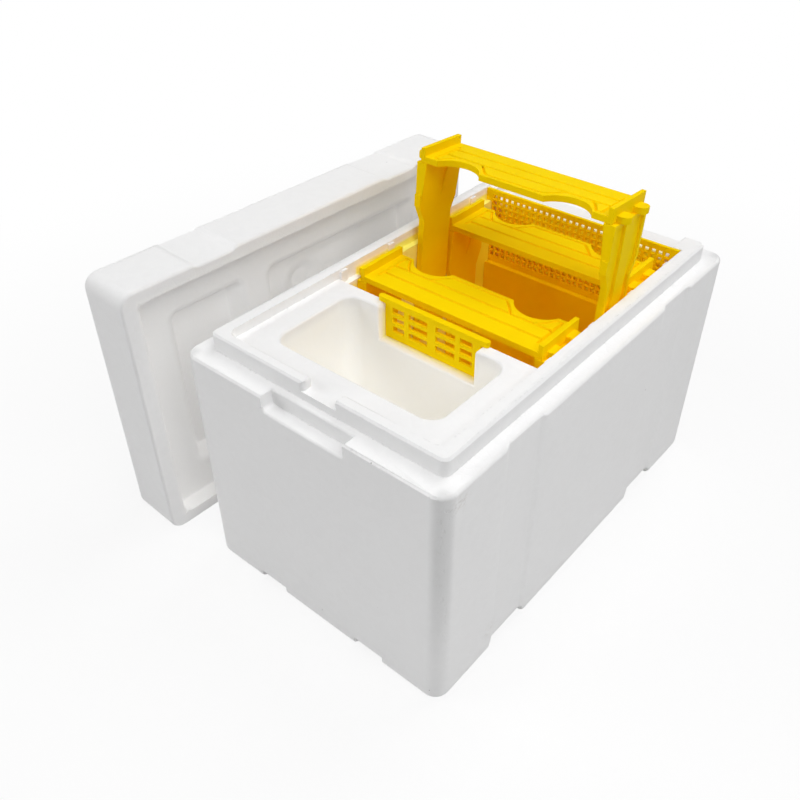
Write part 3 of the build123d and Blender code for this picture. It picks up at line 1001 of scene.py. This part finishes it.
@dataclass
class FoamBox(Moulding):
    """Foam box, painted lighter in its feeder, painted with yellow bounce light in its chamber, vent
    recess, ledges and nooks, and painted with shade along its upright corners.
    """

    node: str = "hive_body"
    body: str = "box"
    name: str = "foam_box"
    slot: Slot = Slot.FOAM
    rounding: EdgeRounding = EdgeRounding(outer=1.3 * MM, inner=0.0, segments=3)
    # Lines on X and Y where the painted shade of the upright corners begins.
    corner_line: Point = (69.0 * MM, 115.5 * MM)
    # Painted light: the feeder's walls are painted lighter than the rest of the foam.
    feeder_painted_light: Colour = (0.993, 0.990, 0.978)
    feeder_margin: Point = (3.5 * MM, 3.5 * MM)
    feeder_top: float = 130 * MM
    # Painted yellow bounce light on the chamber's walls.
    chamber_painted_glow: Colour = (0.985, 0.945, 0.25)
    chamber_margin: Point = (8.0 * MM, 1.0 * MM)
    vent_margin: Point = (1.0 * MM, 1.0 * MM)
    chamber_top: float = 130 * MM
    tint_fade: float = 5 * MM
    # Painted yellow bounce light on the ledges beside the frames.
    ledge_painted_glow: Colour = (0.99, 0.96, 0.22)
    ledge_inside: Corner = (58 * MM, -20 * MM, 118 * MM)
    ledge_outside: Corner = (63.0 * MM, 99 * MM, 137 * MM)
    ledge_fade: float = 2 * MM
    # Painted yellow bounce light in the vent recess and in the nooks beside the rear frame.
    painted_yellow_glow: Colour = (0.985, 0.93, 0.03)
    nook_inside: Corner = (57 * MM, 84 * MM, 20 * MM)
    nook_outside: Corner = (60 * MM, 97 * MM, 122 * MM)
    nook_fade: float = 4 * MM
    scuffs: tuple[Scuff, ...] = (
        Scuff((77.5 * MM, -114 * MM, 126 * MM), 8 * MM, 0.3),
        Scuff((77.5 * MM, -84 * MM, 17 * MM), 9 * MM, 0.16),
    )

    def finish(self) -> FoamFinish:
        """Foam of the box.

        Returns:
            The finish with the painted light of its spaces, the painted shade of its corners and the
            scuffs.
        """
        painted_lights = (
            self.painted_light("feeder_trough", self.feeder_painted_light, self.feeder_margin, self.feeder_top),
            self.painted_light("frame_chamber", self.chamber_painted_glow, self.chamber_margin, self.chamber_top),
            self.painted_light("vent_recess", self.painted_yellow_glow, self.vent_margin, self.chamber_top),
            *self.paired(self.ledge_painted_glow, self.ledge_inside, self.ledge_outside, self.ledge_fade),
            *self.paired(self.painted_yellow_glow, self.nook_inside, self.nook_outside, self.nook_fade),
        )
        return FoamFinish("box_foam", corner=self.corner_line, painted_lights=painted_lights, scuffs=self.scuffs)

    @staticmethod
    def paired(colour: Colour, inside: Corner, outside: Corner, fade: float) -> tuple[PaintedLight, PaintedLight]:
        """Painted yellow bounce light in two like spaces at the left and at the right of the box.

        Args:
            colour: The tint.
            inside: Lowest corner of the space at the right.
            outside: Highest corner of the space at the right.
            fade: How far the tint fades out beyond the space.

        Returns:
            The tinted spaces.
        """
        left_low, left_high = (-outside[0], *inside[1:]), (-inside[0], *outside[1:])
        return PaintedLight(colour, left_low, left_high, fade), PaintedLight(colour, inside, outside, fade)

    def painted_light(self, opening: str, colour: Colour, margin: Point, top: float) -> PaintedLight:
        """Painted light on the walls round one opening of the box.

        Args:
            opening: Name of the opening.
            colour: The tint.
            margin: How far outside the opening's box the walls stand, on X and Y.
            top: Level below which the walls are tinted.

        Returns:
            The tinted space.
        """
        low, high = opening_box(opening)
        tinted_low = (low[0] - margin[0], low[1] - margin[1], 0.0)
        tinted_high = (high[0] + margin[0], high[1] + margin[1], top)
        return PaintedLight(colour, tinted_low, tinted_high, self.tint_fade)


@dataclass
class FoamLid(Moulding):
    """Foam lid, stood on its long side beside the box."""

    node: str = "lid"
    body: str = "lid"
    name: str = "foam_lid"
    slot: Slot = Slot.FOAM
    rounding: EdgeRounding = EdgeRounding(
        outer=1.5 * MM,
        inner=0.8 * MM,
        segments=3,
        soft=3.2 * MM,
        soft_low=(-130 * MM, -126 * MM, 6 * MM),
        soft_high=(-90 * MM, 106 * MM, 149 * MM),
    )
    # Painted light: the hollow side is painted lighter than the rest of the foam.
    hollow_painted_light: Colour = (0.985, 0.981, 0.975)
    hollow_low: Corner = (-128 * MM, -124 * MM, 7 * MM)
    hollow_high: Corner = (-103 * MM, 104 * MM, 148 * MM)
    tint_fade: float = 3 * MM

    def finish(self) -> FoamFinish:
        """Foam of the lid.

        Returns:
            The finish with painted light on its hollow side.
        """
        hollow = PaintedLight(self.hollow_painted_light, self.hollow_low, self.hollow_high, self.tint_fade)
        return FoamFinish("lid_foam", painted_lights=(hollow,))


@dataclass
class PlasticInsert(Moulding):
    """Yellow plastic piece that stands or hangs in the box by itself."""

    slot: Slot = Slot.YELLOW
    rounding: EdgeRounding = EdgeRounding(
        outer=0.3 * MM, inner=0.0, segments=2, sharp_turn=math.radians(35)
    )


@dataclass
class TopBar(PlasticInsert):
    """Top bar of a frame, with the lines that its mould presses into the plate."""

    place: Matrix = field(default_factory=Matrix)
    plate_top: float = -4.4 * MM
    line_width: float = 1.7 * MM
    line_depth: float = 1.6 * MM
    line_sides: int = 4
    line_overlap: float = 0.25
    line_end: float = 48.6 * MM
    front_line: float = -5.0 * MM
    middle_line: float = 3.7 * MM
    border: float = 12.9 * MM
    end_line_foot: float = -9.0 * MM
    tongue_half: float = 16.5 * MM
    tongue_waist: Point = (20.5 * MM, 8.9 * MM)
    tongue_root: Point = (25.0 * MM, 3.7 * MM)
    ear_tip: float = 45.5 * MM
    ear_waist: Point = (42.4 * MM, 7.6 * MM)
    ear_root: Point = (38.5 * MM, 3.7 * MM)
    dot: Point = (46.9 * MM, 3.7 * MM)
    dot_radius: float = 0.9 * MM
    dot_sides: int = 16

    def detail(self, piece: Piece) -> None:
        """Press the lines into the plate, with the bar moved to the frame's own axes and back.

        Args:
            piece: The top bar with rounded edges.
        """
        piece.data.transform(self.place.inverted())
        Workbench.snap(piece)
        Workbench.cut(piece, self.line_cutter())
        piece.data.transform(self.place)

    def line_paths(self) -> list[list[Point]]:
        """Lines of the plate, in the frame's own X and Y.

        Returns:
            One list of points for each line.
        """
        end = self.line_end
        paths = [
            [(-end, self.front_line), (end, self.front_line)],
            [(-end, self.middle_line), (end, self.middle_line)],
        ]
        half_tongue = [(self.tongue_half, self.border), self.tongue_waist, self.tongue_root]
        paths.append([(-x, y) for x, y in reversed(half_tongue)] + half_tongue)
        for side in (-1, 1):
            ear = [(end, self.end_line_foot), (end, self.border), (self.ear_tip, self.border)]
            ear += [self.ear_waist, self.ear_root]
            paths.append([(side * x, y) for x, y in ear])
        return paths

    def line_cutter(self) -> Piece:
        """Model the bars that press the lines into the plate, on the frame's own axes.

        Returns:
            The joined bars.
        """
        bars = []
        for path in self.line_paths():
            for start, end in zip(path, path[1:]):
                bars.append(self.line_bar(start, end))
        bpy.ops.mesh.primitive_cylinder_add(
            vertices=self.dot_sides,
            radius=self.dot_radius,
            depth=2 * self.line_depth,
            location=(*self.dot, self.plate_top),
        )
        bars.append(bpy.context.object)
        cutter = Workbench.join(bars, "line_cutter")
        Workbench.settle(cutter)
        return cutter

    def line_bar(self, start: Point, end: Point) -> Piece:
        """Add one bar of four sloping sides from point to point, half sunk in the plate.

        Args:
            start: First end of the line.
            end: Second end of the line.

        Returns:
            The bar.
        """
        first = Vector((*start, self.plate_top))
        second = Vector((*end, self.plate_top))
        run = second - first
        bpy.ops.mesh.primitive_cylinder_add(
            vertices=self.line_sides,
            radius=1,
            depth=1,
            location=(first + second) / 2,
            rotation=(0, math.pi / 2, math.atan2(run.y, run.x)),
            scale=(self.line_depth, self.line_width / 2, run.length + self.line_overlap * self.line_width),
        )
        return bpy.context.object


@dataclass
class HangingFrame:
    """One frame: a top bar with its pressed lines, and two arms that clip up into it."""

    slot: FrameSlot
    origin: Corner
    lean: float = 0.0
    turn: float = 0.0

    def build(self, material: bpy.types.Material) -> list[Piece]:
        """Model and dress the frame's pieces.

        Args:
            material: The finished plastic.

        Returns:
            The top bar and the arms.
        """
        body = self.slot.value
        turned = Euler((self.lean, 0, 0)).to_matrix() @ Euler((0, 0, self.turn)).to_matrix()
        place = Matrix.Translation(self.origin) @ turned.to_4x4()
        pieces = [TopBar(body + "_top_bar", body, body + "_lined_bar", place=place).build(material)]
        for arm in ("_left_arm", "_right_arm"):
            pieces.append(PlasticInsert(body + arm, body, body + arm + "_moulding").build(material))
        return pieces


@dataclass(frozen=True)
class SoftLamp:
    """Square soft lamp: where it hangs, the point that it faces, its side and its power in watts."""

    name: str
    place: Corner
    aim: Corner
    size: float
    power: float

    def hang(self) -> None:
        """Add the lamp to the scene."""
        bpy.ops.object.light_add(type="AREA", location=self.place)
        lamp = bpy.context.object
        lamp.name = self.name
        lamp.rotation_euler = (Vector(self.aim) - Vector(self.place)).to_track_quat("-Z", "Y").to_euler()
        lamp.data.size = self.size
        lamp.data.energy = self.power


@dataclass
class Studio:
    """Pale floor, soft lamps, white surroundings and the camera."""

    position: Corner = (0.21242, -0.30639, 0.36248)
    yaw: float = math.radians(40.66)
    pitch: float = math.radians(38.38)
    roll: float = math.radians(-0.48)
    focal_pixels: float = 858.16
    image_pixels: float = 800.0
    sensor: float = 36.0
    clip_start: float = 0.01
    floor_size: float = 8.0
    floor_colour: Colour = (0.8, 0.8, 0.8)
    floor_seen: Colour = (0.93, 0.93, 0.93)
    floor_lift: float = 0.85
    white_from: float = 0.2
    white_at: float = 0.55
    ambient: float = 0.01
    white: tuple[float, float, float, float] = (1.0, 1.0, 1.0, 1.0)
    bounces: int = 16
    lamps: tuple[SoftLamp, ...] = (
        SoftLamp("key_lamp", (0.85, -0.25, 1.15), (-0.03, 0.0, 0.1), 0.8, 7.1),
        SoftLamp("top_lamp", (0.0, -0.12, 1.6), (0.0, -0.05, 0.1), 0.5, 3.0),
        SoftLamp("left_lamp", (-2.2, -1.87, 1.27), (-0.02, 0.0, 0.06), 1.7, 38.0),
        SoftLamp("right_lamp", (1.35, 0.75, 0.75), (0.0, 0.0, 0.06), 1.0, 2.2),
        SoftLamp("back_lamp", (0.1, 0.7, 1.5), (0.0, 0.0, 0.1), 0.8, 9.2),
        SoftLamp("fill_lamp", (0.45, -0.75, 0.9), (0.0, 0.0, 0.08), 0.8, 1.1),
    )

    def build(self) -> None:
        """Set up the camera, the floor, the lamps and the world."""
        bpy.context.scene.view_settings.view_transform = "Standard"
        bpy.context.scene.cycles.diffuse_bounces = self.bounces
        bpy.context.scene.cycles.max_bounces = self.bounces
        self.camera()
        self.floor()
        self.world()
        for lamp in self.lamps:
            lamp.hang()

    def camera(self) -> None:
        """Place the camera at the photograph's viewing angle."""
        flat = math.cos(self.pitch)
        ahead = Vector((-math.sin(self.yaw) * flat, math.cos(self.yaw) * flat, -math.sin(self.pitch)))
        level = Vector((math.cos(self.yaw), math.sin(self.yaw), 0))
        upright = level.cross(ahead)
        right = math.cos(self.roll) * level + math.sin(self.roll) * upright
        up = math.cos(self.roll) * upright - math.sin(self.roll) * level
        bpy.ops.object.camera_add(location=self.position)
        camera = bpy.context.object
        camera.rotation_euler = Matrix((right, up, -ahead)).transposed().to_euler()
        camera.data.sensor_width = self.sensor
        camera.data.lens = self.focal_pixels * self.sensor / self.image_pixels
        camera.data.clip_start = self.clip_start
        bpy.context.scene.camera = camera

    def floor(self) -> None:
        """Lay the floor, which the camera sees white apart from the shadow round the object."""
        bpy.ops.mesh.primitive_plane_add(size=self.floor_size)
        floor = bpy.context.object
        floor.name = "floor"
        bench = NodeBench.of_material("studio_floor")
        seen = bench.seen()
        reach = bench.add("VectorMath", {0: bench.coordinates()}, operation="LENGTH").outputs["Value"]
        away = bench.fade(reach, self.white_from, self.white_at)
        lift = bench.math("ADD", bench.math("MULTIPLY", away, 1 - self.floor_lift), self.floor_lift)
        bench.finish(
            Roughness=1.0,
            Specular_IOR_Level=0.0,
            Base_Color=bench.mix(seen, self.floor_colour, self.floor_seen),
        )
        glow = bench.add("Emission", {"Color": self.white, "Strength": 1.0})
        shaders = {1: bench.shader.outputs["BSDF"], 2: glow.outputs["Emission"]}
        lifted = bench.add("MixShader", {0: bench.math("MULTIPLY", seen, lift), **shaders})
        bench.give(bench.nodes["Material Output"].inputs["Surface"], lifted.outputs["Shader"])
        floor.data.materials.append(bench.holder)

    def world(self) -> None:
        """Light the scene softly from all round, before white surroundings."""
        world = bpy.data.worlds.new("studio")
        bpy.context.scene.world = world
        bench = NodeBench(world)
        levels = {"Value": bench.seen(), "To Min": self.ambient, "To Max": 1.0}
        background = bench.nodes["Background"].inputs
        bench.give(background["Strength"], bench.add("MapRange", levels).outputs["Result"])
        bench.give(background["Color"], self.white)


def opening_box(name: str) -> tuple[Corner, Corner]:
    """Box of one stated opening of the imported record.

    Args:
        name: Name of the opening.

    Returns:
        Its lowest and highest corners in metres.
    """
    openings = frame["record"]["physics"]["openings"]
    low, high = next(entry["box_m"] for entry in openings if entry["name"] == name)
    return tuple(low), tuple(high)


def main() -> None:
    """Build every sub-assembly in order and report its pieces."""
    logging.basicConfig(level=logging.INFO, format="%(name)s: %(message)s")
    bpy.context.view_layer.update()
    foam_box, foam_lid = FoamBox(), FoamLid()
    pieces = [foam.build(foam.finish().material()) for foam in (foam_box, foam_lid)]
    yellow = PlasticFinish("yellow_moulding").material()
    frames = (
        HangingFrame(FrameSlot.FRONT, origin=(0, -9.375 * MM, 142 * MM)),
        HangingFrame(
            FrameSlot.MIDDLE, origin=(0, 39.779 * MM, 189.75 * MM), lean=math.radians(-3.6), turn=math.pi
        ),
        HangingFrame(FrameSlot.REAR, origin=(0, 64.925 * MM, 142 * MM)),
    )
    for hanging_frame in frames:
        pieces += hanging_frame.build(yellow)
    for node in ("feeder_grille", "vent_panel", "entrance_shutter"):
        pieces.append(PlasticInsert(node, node, node + "_moulding").build(yellow))
    Studio().build()
    for piece in pieces:
        LOG.info("%s: %d faces", piece.name, len(piece.data.polygons))


if __name__ == "__main__":
    main()
